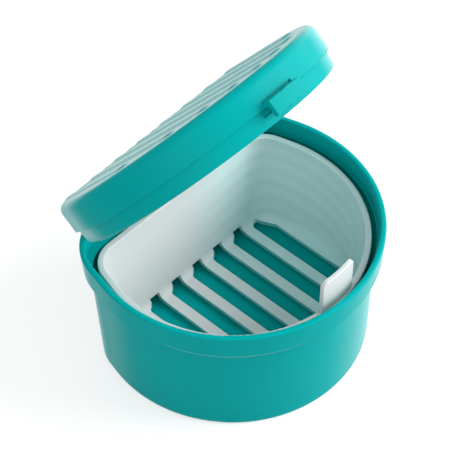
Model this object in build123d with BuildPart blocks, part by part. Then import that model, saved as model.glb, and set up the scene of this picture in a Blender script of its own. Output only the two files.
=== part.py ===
from build123d import *
import os
from math import sqrt

# Denture case: a D-shaped tub with a hinged lid and a lift-out strainer basket, all in millimetres.
# The origin is on the table, under the centre of the round front. X runs along the hinge, the flat
# hinge side looks to +Y and the latch to -Y. The lid stands open at lid_opening.

# ---- driving dimensions -------------------------------------------------------------------------
side_angle = 15.0        # the straight sides lean in towards the back by this angle
least_corner = 0.5       # an inset outline keeps its back corners at least this round

tub_height = 47.3
rim_radius = 48.0        # round front, at the rim
rim_back = 34.0          # flat back, at the rim
rim_corner = 20.0
lip_wall = 2.0           # thin upright lip round the lid's plug band
lip_depth = 6.4          # from the rim down to the ledge
lip_round = 0.7
deck_width = 3.6         # at the back the lip is a thicker deck, under the hinge
pocket_corner = 14.0
collar_height = 8.2      # nearly straight band below the rim
collar_draft = 0.2
collar_lean = 1.2        # the collar's back leans in further than its draft
shoulder_height = 4.2    # slope from the collar in to the body
body_inset = 2.9         # from the rim in to the body
body_draft = 0.3         # the body narrows by this much down to its base
body_lean = 4.1          # the body's back stands in from the rim's, at its top
base_lean = 7.5          # and at its base
body_corner = 14.5
ledge_width = 0.7        # ledge inside the lip
mouth_lean = 7.4         # back of the opening inside the ledge, in from the rim's
mouth_corner = 12.0
tub_wall = 1.8
tub_floor = 2.2
base_round = 1.4
floor_round = 2.5

lid_opening = 50.9       # angle at which the lid stands open
lid_inset = 1.5          # the lid is this much smaller than the rim
lid_back_inset = 5.2     # and stands clear of the hinge at the back
lid_corner = 11.5
lid_height = 9.9         # top of the lid above the rim
lid_top = 1.9
lid_wall = 1.8
lid_round = 2.8
lid_edge_round = 0.35
lid_gap = 0.3            # between the lid's edge and the rim
plug_wall = 1.2          # band under the lid that drops inside the lip
plug_clearance = 0.5     # between the band and the lip
plug_depth = 4.9
plug_taper = 0.6         # the band's outside leans in by this much down to its edge
plug_round = 0.8
plug_root = 2.0          # the band's thick root inside the lid

rib_count = 8            # raised ribs on the lid, with a shallow groove between each two
rib_width = 5.4
rib_height = 0.45
rib_slope = 74.0         # gentle sides of the ribs and grooves, away from upright
rib_land = 0.2           # flat between a rib and a groove
rib_inset = 3.9          # middle of the outermost rib, inside the border
groove_depth = 0.15
rib_border = 6.2         # plain border round the ribs
back_border = 4.6

latch_width = 12.7
latch_wall = 1.6
latch_drop = 3.2         # below the rim
latch_root = 1.8         # above the rim
latch_clearance = 0.4
latch_round = 0.3
catch_width = 9.0        # low bead inside the latch
catch_height = 0.9
catch_proud = 0.1
latch_line = 0.7         # groove in the lid's wall along the top of the latch
recess_height = 2.2      # recess in the band behind the latch
recess_depth = 0.8
recess_margin = 1.0      # wider than the latch by this much at each end

hinge_rise = 1.45        # hinge axis above the rim, over the back lip's outer edge
hinge_spread = 20.0      # middle of each hinge, out from the middle of the lid
hinge_gap = 0.35
knuckle_radius = 2.2
ear_width = 3.0          # ears on the tub, one each side of the lid's arm
ear_foot = 6.0           # the ears run this far down the tub's back
arm_width = 6.0          # arms on the lid
arm_foot = 5.0           # the arms run this far up the lid's back
pin_radius = 1.0
pin_fit = 0.05           # running clearance round the pin, in the lid's arms
pin_chamfer = 0.25

basket_clearance = 0.05  # under the basket's feet
basket_turn = -2.0       # the loose basket stands turned by this angle
foot_height = 0.8
foot_radius = 1.5
foot_spread = 14.0       # the feet stand this far in front of and behind the middle
foot_bars = 3            # and this many bars apart, each under a bar
basket_drop = 5.6        # basket's rim below the tub's rim
basket_gap = 1.6         # between the basket's rim and the tub's mouth
basket_back_gap = 1.8
basket_corner = 11.0
basket_bead = 0.6
bead_height = 1.6
basket_draft = 1.2
basket_lean = 1.8        # the basket's back leans in further at its base
basket_wall = 1.5
basket_floor = 1.5
basket_round = 3.5
basket_edge_round = 0.45
slot_count = 7
slot_pitch = 10.05
slot_width = 6.2
slot_shift = 2.8         # the row of slots sits this far to the right
slot_end = 0.5           # the slots stop this far short of the basket's back wall
slot_front = -36.0
slot_edge = 0.3          # skin left between the slots and the wall
slot_corner = 1.6        # the left back corner is cut off
slot_climb = 2.6         # how far the slots cut up into the round at the wall
gate_width = 4.2         # at the right of its back end, a slot runs out through the wall
corner_angle = 26.0      # the slots stop at a slanting line in the right back corner
corner_reach = 38.0
tab_width = 14.0
tab_shift = 0.5          # the finger tab sits this far to the right
tab_rise = 13.2          # finger tab above the basket's rim
tab_corner = 2.0
tab_wall = 1.5
tab_round = 0.3

# ---- derived places -----------------------------------------------------------------------------
rim = tub_height
ledge = rim - lip_depth
collar_bottom = rim - collar_height
body_top = collar_bottom - shoulder_height
pocket_back = rim_back - deck_width
mouth_radius = rim_radius - lip_wall - ledge_width
mouth_back = rim_back - mouth_lean
hinge_back = rim_back
hinge_height = rim + hinge_rise
lid_radius = rim_radius - lid_inset
lid_back = rim_back - lid_back_inset
lid_edge = rim + lid_gap
lid_underside = rim + lid_height - lid_top
rib_pitch = 2 * (lid_radius - rib_border - rib_inset) / (rib_count - 1)
groove_width = rib_pitch - rib_width - 2 * rib_land
plug_radius = rim_radius - lip_wall - plug_clearance
latch_radius = rim_radius + latch_clearance
ear_inside = hinge_spread - arm_width / 2 - hinge_gap     # gap between each pair of ears
ear_outside = hinge_spread + arm_width / 2 + hinge_gap
notch_floor = hinge_height - knuckle_radius - hinge_gap
basket_radius = mouth_radius - basket_gap
basket_back = mouth_back - basket_back_gap
basket_rim = rim - basket_drop
basket_base = tub_floor + basket_clearance + foot_height
basket_floor_top = basket_base + basket_floor
slot_back = basket_back - basket_lean - basket_bead - basket_draft - basket_wall - slot_end
reach = 2 * rim_radius   # size of the cutting blocks


def d_face(radius, back, corner, inset=0.0, mode=Mode.ADD):
    """D outline in the sketch at hand: round front, straight leaning sides, rounded back corners."""
    radius, back, corner = radius - inset, back - inset, max(corner - inset, least_corner)
    outward = Vector(1, 0).rotate(Axis.Z, side_angle)
    along = outward.rotate(Axis.Z, 90)
    run = (back - corner - (radius - corner) * outward.Y) / along.Y
    centre = outward * (radius - corner) + along * run
    with BuildLine() as outline:
        front_middle = Vector(0, -radius).rotate(Axis.Z, 45 + side_angle / 2)
        front = ThreePointArc((0, -radius), front_middle, outward * radius)
        side = Line(front @ 1, centre + outward * corner)
        bend_middle = centre + outward.rotate(Axis.Z, 45 - side_angle / 2) * corner
        bend = ThreePointArc(side @ 1, bend_middle, centre + Vector(0, corner))
        Line(bend @ 1, (0, back))
        mirror(about=Plane.YZ)
    make_face(outline.edges(), mode=mode)


def collar_face():
    d_face(rim_radius - collar_draft, rim_back - collar_lean, rim_corner)


def body_face(inset, lean):
    d_face(rim_radius - inset, rim_back - lean, body_corner)


def cavity_face(inset, back):
    """Inside of the tub's wall."""
    d_face(rim_radius - inset - tub_wall, back, mouth_corner)


def mouth_face():
    d_face(mouth_radius, mouth_back, mouth_corner)


def lid_face(inset=0.0, mode=Mode.ADD):
    d_face(lid_radius, lid_back, lid_corner, inset, mode)


def plug_face(inset=0.0, mode=Mode.ADD):
    lid_face(lid_radius - plug_radius + inset, mode)


def basket_face(inset=0.0, lean=0.0, mode=Mode.ADD):
    d_face(basket_radius, basket_back - lean, basket_corner, inset, mode)


def ridge_outline(across, width):
    """One long rounded outline on the lid's top, running front to back inside the plain border."""
    front = -sqrt((lid_radius - rib_border) ** 2 - across ** 2)
    back = lid_back - back_border
    with Locations((across, (front + back) / 2)):
        SlotOverall(back - front, width, rotation=90)


# ---- tub ----------------------------------------------------------------------------------------
with BuildPart() as tub:
    # body, with its bottom edge rounded
    with BuildSketch():
        body_face(body_inset + body_draft, base_lean)
    with BuildSketch(Plane.XY.offset(body_top)):
        body_face(body_inset, body_lean)
    loft()
    fillet(tub.edges().group_by(Axis.Z)[0], radius=base_round)
    # shoulder and collar
    with BuildSketch(Plane.XY.offset(body_top)):
        body_face(body_inset, body_lean)
    with BuildSketch(Plane.XY.offset(collar_bottom)):
        collar_face()
    loft()
    with BuildSketch(Plane.XY.offset(collar_bottom)):
        collar_face()
    with BuildSketch(Plane.XY.offset(rim)):
        d_face(rim_radius, rim_back, rim_corner)
    loft()
    # cavity: straight walls, shoulder, throat, then the pocket for the lid's plug band
    with BuildSketch(Plane.XY.offset(tub_floor)):
        cavity_face(body_inset + body_draft, rim_back - base_lean - tub_wall)
    with BuildSketch(Plane.XY.offset(body_top)):
        cavity_face(body_inset, mouth_back)
    loft(mode=Mode.SUBTRACT)
    with BuildSketch(Plane.XY.offset(body_top)):
        cavity_face(body_inset, mouth_back)
    with BuildSketch(Plane.XY.offset(collar_bottom)):
        mouth_face()
    loft(mode=Mode.SUBTRACT)
    with BuildSketch(Plane.XY.offset(collar_bottom)):
        mouth_face()
    extrude(amount=ledge - collar_bottom, mode=Mode.SUBTRACT)
    with BuildSketch(Plane.XY.offset(ledge)):
        d_face(rim_radius - lip_wall, pocket_back, pocket_corner)
    extrude(amount=lip_depth, mode=Mode.SUBTRACT)
    fillet(tub.edges().filter_by_position(Axis.Z, tub_floor, tub_floor), radius=floor_round)
    fillet(tub.edges().group_by(Axis.Z)[-1], radius=lip_round)
    # two pairs of ears on the back lip hold the hinge pins
    for ear_start in (ear_outside, ear_inside - ear_width, -ear_inside, -ear_outside - ear_width):
        with BuildSketch(Plane.YZ.offset(ear_start)):
            with Locations((hinge_back, hinge_height)):
                Circle(knuckle_radius)
            with Locations((rim_back - lip_wall / 2, rim - ear_foot / 2)):
                Rectangle(lip_wall, ear_foot)
            make_hull()
            with Locations((hinge_back, hinge_height)):
                Circle(pin_radius, mode=Mode.SUBTRACT)
        extrude(amount=ear_width)
    # the lip is notched between the ears, for the lid's arms
    with BuildSketch(Plane.XY.offset(rim)):
        with Locations((hinge_spread, rim_back), (-hinge_spread, rim_back)):
            Rectangle(ear_outside - ear_inside, 2 * (rim_back - pocket_back + hinge_gap))
    extrude(amount=notch_floor - rim, mode=Mode.SUBTRACT)

# ---- hinge pins ---------------------------------------------------------------------------------
with BuildPart() as hinge_pin_right:
    with BuildSketch(Plane.YZ.offset(ear_inside - ear_width)):
        with Locations((hinge_back, hinge_height)):
            Circle(pin_radius)
    extrude(amount=ear_outside - ear_inside + 2 * ear_width)
    chamfer(hinge_pin_right.edges(), length=pin_chamfer)

with BuildPart() as hinge_pin_left:
    mirror(hinge_pin_right.part, about=Plane.YZ)

# ---- lid, drawn shut and then swung open --------------------------------------------------------
with BuildPart() as latch:
    with BuildSketch(Plane.XY.offset(rim - latch_drop)):
        Circle(latch_radius + latch_wall)
        Circle(latch_radius, mode=Mode.SUBTRACT)
    extrude(amount=latch_drop + latch_root)
    with BuildSketch(Plane.XY.offset(lid_edge)):
        Circle(latch_radius + latch_wall)
        Circle(lid_radius - lid_wall / 2, mode=Mode.SUBTRACT)
    extrude(amount=latch_root - lid_gap)
    with BuildSketch(Plane.XY.offset(rim - latch_drop)):
        with Locations((0, -latch_radius)):
            Rectangle(latch_width, latch_radius)
    extrude(amount=latch_drop + latch_root, mode=Mode.INTERSECT)
    outer_face = latch.faces().filter_by(GeomType.CYLINDER).sort_by(Axis.Y)[0]
    fillet(outer_face.edges(), radius=latch_round)

with BuildPart() as catch:
    with BuildSketch(Plane.XY.offset(rim - latch_drop + catch_height)):
        Circle(latch_radius + latch_wall / 2)
        Circle(latch_radius - catch_proud, mode=Mode.SUBTRACT)
        with Locations((0, -latch_radius)):
            Rectangle(catch_width, latch_radius, mode=Mode.INTERSECT)
    extrude(amount=catch_height)

with BuildPart() as lid:
    with BuildSketch(Plane.XY.offset(lid_edge)):
        lid_face()
    extrude(amount=lid_height - lid_gap)
    fillet(lid.edges().group_by(Axis.Z)[-1], radius=lid_round)
    fillet(lid.edges().group_by(Axis.Z)[0], radius=lid_edge_round)
    with BuildSketch(Plane.XY.offset(lid_edge)):
        lid_face(lid_wall)
    extrude(amount=lid_underside - lid_edge, mode=Mode.SUBTRACT)
    ceiling = lid.faces().filter_by_position(Axis.Z, lid_underside, lid_underside)
    fillet(ceiling.edges(), radius=lid_round - lid_wall)
    # plug band: it tapers to a rounded edge, and its thick root stands inside the lid's wall
    with BuildSketch(Plane.XY.offset(rim - plug_depth)):
        plug_face(plug_taper)
    with BuildSketch(Plane.XY.offset(lid_edge)):
        plug_face()
    loft()
    fillet(lid.edges().group_by(Axis.Z)[0], radius=plug_round)
    with BuildSketch(Plane.XY.offset(lid_edge)):
        lid_face(lid_wall / 2)
    extrude(amount=plug_root - lid_gap)
    with BuildSketch(Plane.XY.offset(rim - plug_depth)):
        plug_face(plug_taper + plug_wall)
    extrude(amount=plug_depth + plug_root, mode=Mode.SUBTRACT)
    # recess in the band behind the latch, and a groove in the wall along its top
    with BuildSketch(Plane.XY.offset(lid_edge)):
        with Locations((0, -lid_radius)):
            Rectangle(latch_width + 2 * recess_margin, lid_radius)
        Circle(plug_radius - recess_depth, mode=Mode.SUBTRACT)
    extrude(amount=-recess_height, mode=Mode.SUBTRACT)
    with BuildSketch(Plane.XY.offset(rim + latch_root)):
        with Locations((0, -lid_radius)):
            Rectangle(latch_width, lid_radius)
        Circle(lid_radius - latch_line, mode=Mode.SUBTRACT)
    extrude(amount=latch_line, mode=Mode.SUBTRACT)
    # arms that turn on the pins
    for arm_start in (hinge_spread - arm_width / 2, -hinge_spread - arm_width / 2):
        with BuildSketch(Plane.YZ.offset(arm_start)):
            with Locations((hinge_back, hinge_height)):
                Circle(knuckle_radius)
            with Locations((lid_back - lid_wall / 2, lid_edge + arm_foot / 2)):
                Rectangle(lid_wall, arm_foot)
            make_hull()
            with Locations((hinge_back, hinge_height)):
                Circle(pin_radius + pin_fit, mode=Mode.SUBTRACT)
        extrude(amount=arm_width)
    # latch and its catch
    add(latch.part)
    add(catch.part)
    # a row of raised ribs on the top, with a shallow groove between each two
    with BuildSketch(Plane.XY.offset(rim + lid_height)):
        for groove in range(rib_count - 1):
            ridge_outline((groove - (rib_count - 2) / 2) * rib_pitch, groove_width)
    extrude(amount=-groove_depth, taper=rib_slope, mode=Mode.SUBTRACT)
    with BuildSketch(Plane.XY.offset(rim + lid_height)):
        for rib in range(rib_count):
            ridge_outline((rib - (rib_count - 1) / 2) * rib_pitch, rib_width)
    extrude(amount=rib_height, taper=rib_slope)

hinge_place = Location((0, hinge_back, hinge_height))
lid.part.move(hinge_place * Location((0, 0, 0), (-lid_opening, 0, 0)) * hinge_place.inverse())

# ---- basket -------------------------------------------------------------------------------------
with BuildPart() as finger_tab:
    with BuildSketch(Plane.XY.offset(basket_rim - tab_corner - bead_height)):
        Circle(basket_radius - basket_bead)
        Circle(basket_radius - basket_bead - tab_wall, mode=Mode.SUBTRACT)
    extrude(amount=tab_corner + bead_height + tab_rise)
    with BuildSketch(Plane.XZ):
        with Locations((tab_shift, basket_rim + (tab_rise - tab_corner - bead_height) / 2)):
            RectangleRounded(tab_width, tab_rise + tab_corner + bead_height, tab_corner)
    extrude(amount=basket_radius, mode=Mode.INTERSECT)
    fillet(finger_tab.edges(), radius=tab_round)

with BuildPart() as basket:
    with BuildSketch(Plane.XY.offset(basket_base)):
        basket_face(basket_bead + basket_draft, basket_lean)
    with BuildSketch(Plane.XY.offset(basket_rim)):
        basket_face(basket_bead)
    loft()
    fillet(basket.edges().group_by(Axis.Z)[0], radius=basket_round)
    with BuildSketch(Plane.XY.offset(basket_rim)):
        basket_face()
    extrude(amount=-bead_height)
    with BuildSketch(Plane.XY.offset(basket_floor_top)):
        basket_face(basket_bead + basket_draft + basket_wall, basket_lean)
    with BuildSketch(Plane.XY.offset(basket_rim)):
        basket_face(basket_bead + basket_wall)
    loft(mode=Mode.SUBTRACT)
    floor_edges = basket.edges().filter_by_position(Axis.Z, basket_floor_top, basket_floor_top)
    fillet(floor_edges, radius=basket_round)
    fillet(basket.edges().group_by(Axis.Z)[-1], radius=basket_edge_round)
    # slots, cut straight down through the floor and the round at the wall
    with BuildSketch(Plane.XY.offset(basket_base)):
        with Locations((slot_shift + slot_width / 2, slot_back)):
            with GridLocations(slot_pitch, 0, slot_count, 1):
                Polygon(
                    (0, 0),
                    (slot_corner - slot_width, 0),
                    (-slot_width, -slot_corner),
                    (-slot_width, slot_front - slot_back),
                    (0, slot_front - slot_back),
                    align=None,
                )
        basket_face(basket_bead + basket_draft + basket_wall + slot_edge, basket_lean, mode=Mode.INTERSECT)
        with Locations(Vector(corner_reach, 0).rotate(Axis.Z, corner_angle)):
            from_the_line = (Align.MIN, Align.CENTER)
            Rectangle(reach, reach, rotation=corner_angle, align=from_the_line, mode=Mode.SUBTRACT)
    extrude(amount=basket_floor + slot_climb, mode=Mode.SUBTRACT)
    # all but the last slot run out through the back wall
    with BuildSketch(Plane.XY.offset(basket_base)):
        with Locations((slot_shift + (slot_width - gate_width - slot_pitch) / 2, basket_back)):
            with GridLocations(slot_pitch, 0, slot_count - 1, 1):
                Rectangle(gate_width, 2 * (basket_back - slot_back + slot_end))
    extrude(amount=basket_floor + slot_climb, mode=Mode.SUBTRACT)
    # feet under the bars, and the finger tab
    with BuildSketch(Plane.XY.offset(basket_base)):
        with Locations((slot_shift, 0)):
            with GridLocations(foot_bars * slot_pitch, 2 * foot_spread, 2, 2):
                Circle(foot_radius)
    extrude(amount=-foot_height)
    add(finger_tab.part)

basket.part.move(Location((0, 0, 0), (0, 0, basket_turn)))

# ---- write the pieces ---------------------------------------------------------------------------
os.makedirs("parts", exist_ok=True)
tub.part.label = "tub"
lid.part.label = "lid"
basket.part.label = "basket"
hinge_pin_left.part.label = "hinge_pin_left"
hinge_pin_right.part.label = "hinge_pin_right"
export_step(tub.part, "parts/tub.step")
export_step(lid.part, "parts/lid.step")
export_step(basket.part, "parts/basket.step")
export_step(hinge_pin_left.part, "parts/hinge_pin_left.step")
export_step(hinge_pin_right.part, "parts/hinge_pin_right.step")
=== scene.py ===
import math

import bmesh
import bpy
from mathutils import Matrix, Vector


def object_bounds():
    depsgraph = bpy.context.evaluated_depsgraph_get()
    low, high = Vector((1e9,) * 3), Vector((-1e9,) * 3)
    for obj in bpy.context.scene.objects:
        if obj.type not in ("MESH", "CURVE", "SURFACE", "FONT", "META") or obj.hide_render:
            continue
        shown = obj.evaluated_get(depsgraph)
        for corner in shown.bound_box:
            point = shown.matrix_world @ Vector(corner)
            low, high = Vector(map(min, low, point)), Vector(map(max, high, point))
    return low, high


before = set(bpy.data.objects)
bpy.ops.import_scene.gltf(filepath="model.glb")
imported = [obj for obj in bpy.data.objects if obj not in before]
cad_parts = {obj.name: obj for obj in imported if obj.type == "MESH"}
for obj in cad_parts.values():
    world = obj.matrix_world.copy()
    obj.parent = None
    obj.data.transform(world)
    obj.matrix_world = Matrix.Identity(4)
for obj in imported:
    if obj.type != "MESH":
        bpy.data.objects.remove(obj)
cad_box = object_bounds()


# ---- Tub ---------------------------------------------------------------------
# The D-shaped bath that holds the water. It is one injection moulding in teal
# polypropylene, with a thin lip, a flat deck at the back and the hinge's ears.

teal = (0.0, 0.415, 0.412, 1.0)
grain_per_metre = 2600.0         # pits of the spark-eroded tool
waves_per_metre = 38.0           # slow shrinkage over the walls
scuffs_per_metre = 260.0         # handling marks
relief_depth = 0.00005


def fill(tree, node, inputs):
    """Sets a node's sockets: by a link where the value is another node's output."""
    for socket, value in inputs.items():
        if isinstance(value, bpy.types.NodeSocket):
            tree.links.new(value, node.inputs[socket])
        else:
            node.inputs[socket].default_value = value


def add(tree, kind, inputs=None, **settings):
    """A new node, with its settings made and its sockets filled."""
    node = tree.nodes.new(kind)
    for setting, value in settings.items():
        setattr(node, setting, value)
    fill(tree, node, inputs or {})
    return node


def remap(tree, value, from_range=(0.0, 1.0), to_range=(0.0, 1.0), interpolation="LINEAR"):
    """A value carried from one range to another, and kept within it."""
    (start, end), (first, last) = from_range, to_range
    node = add(
        tree, "ShaderNodeMapRange",
        {"Value": value, "From Min": start, "From Max": end, "To Min": first, "To Max": last},
        interpolation_type=interpolation,
    )
    return node.outputs["Result"]


def reckon(tree, operation, *terms):
    """The result of a Math node."""
    node = add(tree, "ShaderNodeMath", dict(enumerate(terms)), operation=operation)
    return node.outputs["Value"]


def mix(tree, factor, first, second, blend="MIX"):
    """A colour between two, or one multiplied by the other."""
    node = add(
        tree, "ShaderNodeMix", {"Factor": factor, "A": first, "B": second},
        data_type="RGBA", blend_type=blend,
    )
    return node.outputs["Result"]


def spark_grain_group():
    """Fine spark-eroded tool grain, with slow waves of shrinkage and faint scuffs."""
    group = bpy.data.node_groups.new("spark_grain", "ShaderNodeTree")
    for name, kind, side in (
        ("Vector", "NodeSocketVector", "INPUT"),
        ("Gloss", "NodeSocketFloat", "INPUT"),
        ("Scuffs", "NodeSocketFloat", "INPUT"),
        ("Shade", "NodeSocketFloat", "OUTPUT"),
        ("Roughness", "NodeSocketFloat", "OUTPUT"),
        ("Height", "NodeSocketFloat", "OUTPUT"),
    ):
        group.interface.new_socket(name, in_out=side, socket_type=kind)
    given = add(group, "NodeGroupInput").outputs

    def noise(scale, detail, roughness=0.5):
        node = add(
            group, "ShaderNodeTexNoise",
            {"Vector": given["Vector"], "Scale": scale, "Detail": detail, "Roughness": roughness},
        )
        return node.outputs["Fac"]

    grain = noise(grain_per_metre, 2.0)
    waves = noise(waves_per_metre, 3.0)
    marks = noise(scuffs_per_metre, 6.0, roughness=0.75)
    # only the highest of the marks show, and they roughen the skin
    scuffed = reckon(group, "MULTIPLY", remap(group, marks, (0.60, 0.74)), given["Scuffs"])
    uneven_gloss = reckon(group, "MULTIPLY_ADD", waves, 0.10, given["Gloss"])
    add(group, "NodeGroupOutput", {
        "Shade": remap(group, waves, to_range=(0.955, 1.045)),
        "Roughness": reckon(group, "MULTIPLY_ADD", scuffed, 0.12, uneven_gloss),
        "Height": reckon(group, "MULTIPLY_ADD", waves, 0.6, grain),
    })
    return group


spark_grain = spark_grain_group()


def new_finish(name):
    """A new material, with its node tree and its shader."""
    material = bpy.data.materials.new(name)
    material.use_nodes = True
    tree = material.node_tree
    return material, tree, tree.nodes["Principled BSDF"]


def lay_grain(tree, skin, place, colour, gloss, scuffs, relief):
    """Gives a moulding's skin its colour, with the tool's grain in shade, gloss and relief."""
    grain = add(
        tree, "ShaderNodeGroup", {"Vector": place, "Gloss": gloss, "Scuffs": scuffs},
        node_tree=spark_grain,
    ).outputs
    bump = add(tree, "ShaderNodeBump", {
        "Strength": relief, "Distance": relief_depth, "Height": grain["Height"],
    })
    fill(tree, skin, {
        "Base Color": mix(tree, 1.0, colour, grain["Shade"], blend="MULTIPLY"),
        "Roughness": grain["Roughness"],
        "Normal": bump.outputs["Normal"],
    })


def teal_plastic(name, gloss, scuffs, full_gloss):
    """Teal polypropylene with a satin skin that glosses over at a glancing angle."""
    material, tree, skin = new_finish(name)
    place = add(tree, "ShaderNodeTexCoord").outputs["Object"]
    lay_grain(tree, skin, place, teal, gloss, scuffs, relief=0.12)
    glance = add(tree, "ShaderNodeLayerWeight").outputs["Facing"]
    fill(tree, skin, {
        "IOR": 1.07,
        "Coat IOR": 1.5,
        "Coat Roughness": 0.35,
        "Coat Weight": remap(tree, glance, (0.60, full_gloss), (0.06, 1.0)),
    })
    return material


def dress(name, material):
    """Gives a carried-over CAD node its finish."""
    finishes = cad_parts[name].data.materials
    finishes.clear()
    finishes.append(material)


dress("tub", teal_plastic("tub_teal", gloss=0.26, scuffs=0.5, full_gloss=0.96))


# ---- Hinge pins --------------------------------------------------------------
# Two cut lengths of drawn stainless wire, pressed into the tub's ears. The
# lid's arms turn on them.

dark_steel = (0.46, 0.47, 0.48, 1.0)
bright_steel = (0.70, 0.70, 0.69, 1.0)
line_stretch = (60.0, 6000.0, 6000.0)    # drawing lines per metre, long along the wire


def drawn_wire():
    """Stainless wire with fine drawing lines along its length, which is X here."""
    material, tree, skin = new_finish("drawn_wire")
    place = add(tree, "ShaderNodeTexCoord").outputs["Object"]
    stretch = add(tree, "ShaderNodeMapping", {"Vector": place, "Scale": line_stretch})
    lines = add(
        tree, "ShaderNodeTexNoise",
        {"Vector": stretch.outputs["Vector"], "Scale": 1.0, "Detail": 3.0},
    ).outputs["Fac"]
    fill(tree, skin, {
        "Metallic": 1.0,
        "Base Color": mix(tree, lines, dark_steel, bright_steel),
        "Roughness": remap(tree, lines, to_range=(0.22, 0.42)),
    })
    return material


wire = drawn_wire()
dress("hinge_pin_left", wire)
dress("hinge_pin_right", wire)


# ---- Lid ---------------------------------------------------------------------
# Ribbed cap of the same teal polypropylene. Its plug band drops inside the
# tub's lip, and a tongue at the front springs over the collar.

dress("lid", teal_plastic("lid_teal", gloss=0.27, scuffs=0.7, full_gloss=0.84))


# ---- Basket ------------------------------------------------------------------
# Loose strainer in natural polypropylene. Towards its right it is painted teal: a painted shade,
# with the tub's teal light painted in as if shining through. The mould's flow marks show most
# there.

milky = (0.77, 0.785, 0.785, 1.0)
# painted shade: the basket's right side gets this darker teal, for shade and the tub's teal light
# seen through the wall
painted_teal_shade = (0.66, 0.90, 0.89, 1.0)
flow_mark = (0.84, 1.0, 0.99, 1.0)
# painted shade: the slots' side walls get this dark teal for their shade and the tub floor's
# reflected teal
slot_wall_shade_teal = (0.10, 0.58, 0.57, 1.0)
painted_shade_from, painted_shade_to = -0.004, 0.036             # across the basket, in X
slot_wall_top, slot_wall_full = 0.0050, 0.0045   # the basket's floor ends between them, in Z


def natural_plastic():
    """Milky polypropylene with faint flow marks, painted darker teal towards its right as painted
    shade and see-through teal light.
    """
    material, tree, skin = new_finish("natural_plastic")
    place = add(tree, "ShaderNodeTexCoord").outputs
    axes = add(tree, "ShaderNodeSeparateXYZ", {"Vector": place["Object"]}).outputs
    # painted shade: the colour turns to the shaded teal towards the basket's right, along X
    painted_shade_side = remap(tree, axes["X"], (painted_shade_from, painted_shade_to), interpolation="SMOOTHSTEP")
    colour = mix(tree, painted_shade_side, milky, painted_teal_shade)
    # flow marks: wandering level bands left by the melt as the mould filled
    bands = add(
        tree, "ShaderNodeTexWave",
        {"Vector": place["Object"], "Scale": 48.0, "Distortion": 5.0,
         "Detail": 1.0, "Detail Scale": 0.35},
        bands_direction="Z",
    ).outputs["Fac"]
    marks = reckon(tree, "MULTIPLY", bands, remap(tree, painted_shade_side, to_range=(0.0, 0.40)))
    colour = mix(tree, marks, colour, flow_mark)
    # painted shade and reflection: the slots' side walls, low down and facing along X, are painted
    # dark teal for the shade in the slots and the tub floor's reflected teal
    facing = add(tree, "ShaderNodeSeparateXYZ", {"Vector": place["Normal"]}).outputs["X"]
    sideways = remap(tree, reckon(tree, "ABSOLUTE", facing), (0.45, 0.95))
    low = remap(tree, axes["Z"], (slot_wall_top, slot_wall_full), (0.0, 0.9))
    colour = mix(tree, reckon(tree, "MULTIPLY", sideways, low), colour, slot_wall_shade_teal)
    lay_grain(tree, skin, place["Object"], colour, gloss=0.30, scuffs=0.6, relief=0.10)
    fill(tree, skin, {"IOR": 1.3})
    return material


dress("basket", natural_plastic())


# ---- Studio ------------------------------------------------------------------
# A plain white sweep under soft light: a broad lamp to the right, a weaker one
# to the left, and even light from all round.

paper_grey = (0.56, 0.56, 0.56, 1.0)
paper_lift = 0.61                # brings the lit paper up to white
floor_half_width = 3.0


def white_sweep():
    """White paper: it keeps the object's shadow, and is white to the camera and in reflections."""
    material, tree, skin = new_finish("white_sweep")
    tree.nodes.remove(skin)
    path = add(tree, "ShaderNodeLightPath").outputs
    seen = reckon(tree, "MAXIMUM", path["Is Camera Ray"], path["Is Glossy Ray"])
    seen = reckon(tree, "MAXIMUM", seen, path["Is Transmission Ray"])
    paper = add(tree, "ShaderNodeBsdfDiffuse", {"Color": paper_grey})
    lift = add(tree, "ShaderNodeEmission", {
        "Strength": reckon(tree, "MULTIPLY", seen, paper_lift),
    })
    both = add(tree, "ShaderNodeAddShader", {
        0: paper.outputs["BSDF"], 1: lift.outputs["Emission"],
    })
    fill(tree, tree.nodes["Material Output"], {"Surface": both.outputs["Shader"]})
    return material


floor_mesh = bpy.data.meshes.new("floor")
sheet = bmesh.new()
bmesh.ops.create_grid(sheet, x_segments=1, y_segments=1, size=floor_half_width)
bmesh.ops.translate(sheet, verts=sheet.verts, vec=(0.0, 0.0, cad_box[0][2]))
sheet.to_mesh(floor_mesh)
sheet.free()
floor = bpy.data.objects.new("floor", floor_mesh)
bpy.context.scene.collection.objects.link(floor)
floor_mesh.materials.append(white_sweep())

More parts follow.
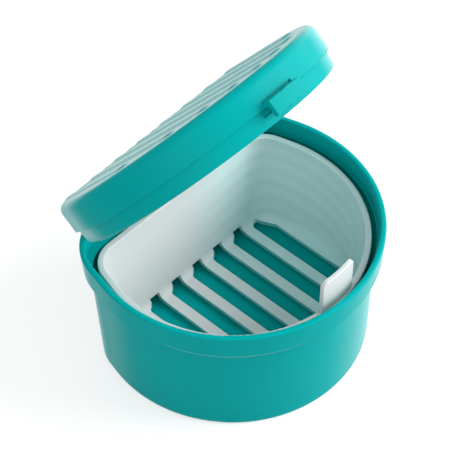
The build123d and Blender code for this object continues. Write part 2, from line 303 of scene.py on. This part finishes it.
world = bpy.data.worlds.new("studio")
world.use_nodes = True
bpy.context.scene.world = world
air = world.node_tree
path = add(air, "ShaderNodeLightPath").outputs
seen = reckon(air, "MAXIMUM", path["Is Camera Ray"], path["Is Glossy Ray"])
even_light = remap(air, seen, to_range=(0.62, 1.0))
# a tall reflector stands to the right and shows only in reflections
view = add(air, "ShaderNodeTexCoord").outputs["Generated"]
across = add(air, "ShaderNodeSeparateXYZ", {"Vector": view}).outputs["X"]
reflector = remap(air, across, (0.70, 1.0), (0.0, 6.0), interpolation="SMOOTHSTEP")
fill(air, air.nodes["Background"], {
    "Color": (1.0, 1.0, 1.0, 1.0),
    "Strength": reckon(air, "MULTIPLY_ADD", path["Is Glossy Ray"], reflector, even_light),
})

lamp_width = 0.8
lamps_aim = Vector((0.0, 0.0, 0.03))


def lamp(name, place, power):
    """A round soft lamp that points at the tub."""
    light = bpy.data.lights.new(name, "AREA")
    light.shape = "DISK"
    light.size = lamp_width
    light.energy = power
    holder = bpy.data.objects.new(name, light)
    holder.location = place
    holder.rotation_euler = (lamps_aim - Vector(place)).to_track_quat("-Z", "Y").to_euler()
    bpy.context.scene.collection.objects.link(holder)


lamp("key_right", (0.64, -0.62, 0.58), power=10.0)
lamp("fill_left", (-0.9, -0.5, 0.6), power=1.5)


# ---- Camera ------------------------------------------------------------------
# Looks down on the left front corner, from about half a metre. It is aimed at
# the middle of the tub's rim.

turn, tilt = math.radians(-49.326), math.radians(48.05)
distance = 0.50464
rim_height = 0.0473

aim = Vector((0.0, 0.0, rim_height))
away = Vector((
    math.sin(turn) * math.cos(tilt),
    -math.cos(turn) * math.cos(tilt),
    math.sin(tilt),
))
lens = bpy.data.cameras.new("camera")
lens.sensor_width = 36.0
lens.lens = 129.87
lens.shift_x = -0.01622
lens.shift_y = -0.01664
lens.clip_start = 0.01
camera = bpy.data.objects.new("camera", lens)
camera.location = aim + away * distance
camera.rotation_euler = (-away).to_track_quat("-Z", "Y").to_euler()
bpy.context.scene.collection.objects.link(camera)
bpy.context.scene.camera = camera
bpy.context.scene.view_settings.view_transform = "Standard"
